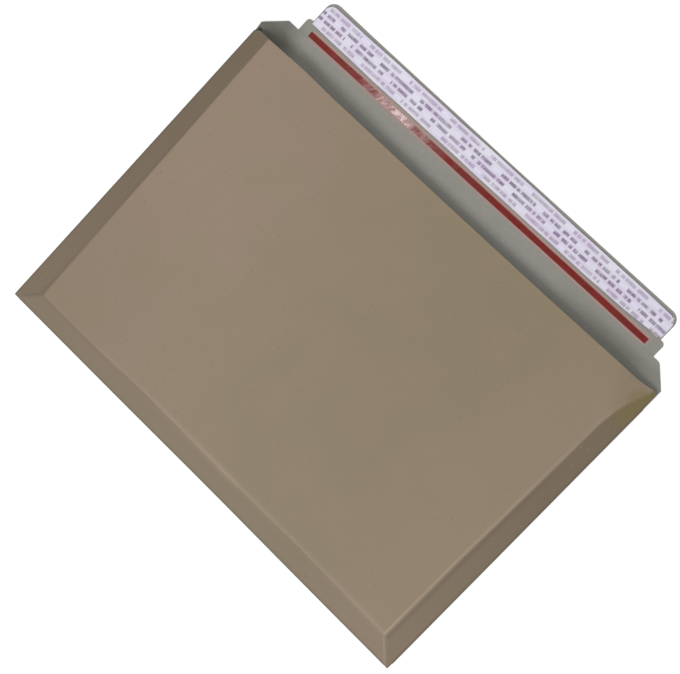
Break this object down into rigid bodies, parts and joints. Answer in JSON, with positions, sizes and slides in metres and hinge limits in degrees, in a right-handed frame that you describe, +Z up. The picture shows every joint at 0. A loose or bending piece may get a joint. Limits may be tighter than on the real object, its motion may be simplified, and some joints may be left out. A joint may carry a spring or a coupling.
{
  "type": "gusseted cardboard envelope",
  "caption": "Flat board envelope with creased gussets on the closed sides, an open mouth and a self-seal flap with a tear strip.",
  "frame": {"origin": "middle of the envelope's outline with the flap open, on the surface that it lies on", "axes": "+X along the mouth, +Y from the bottom fold towards the flap, +Z up out of the front panel"},
  "size_m": [0.334, 0.275, 0.0089],
  "materials": {
    "board": "uncoated manilla board, brown outside and grey inside, matte",
    "tear_film": "glossy red film tape",
    "adhesive": "clear tacky glue",
    "liner": "siliconised white release paper with small grey-mauve marks"
  },
  "bodies": {
    "pocket": {"pocket_board": "board"},
    "flap": {"flap_board": "board", "tear_strip": "tear_film", "adhesive_strip": "adhesive", "release_liner": "liner"}
  },
  "joints": [
    {"name": "flap_crease", "type": "hinge", "parent": "pocket", "child": "flap", "pos_m": [0, 0.1095, 0.0006], "axis": [1, 0, 0], "range_deg": [0, 152]}
  ]
}
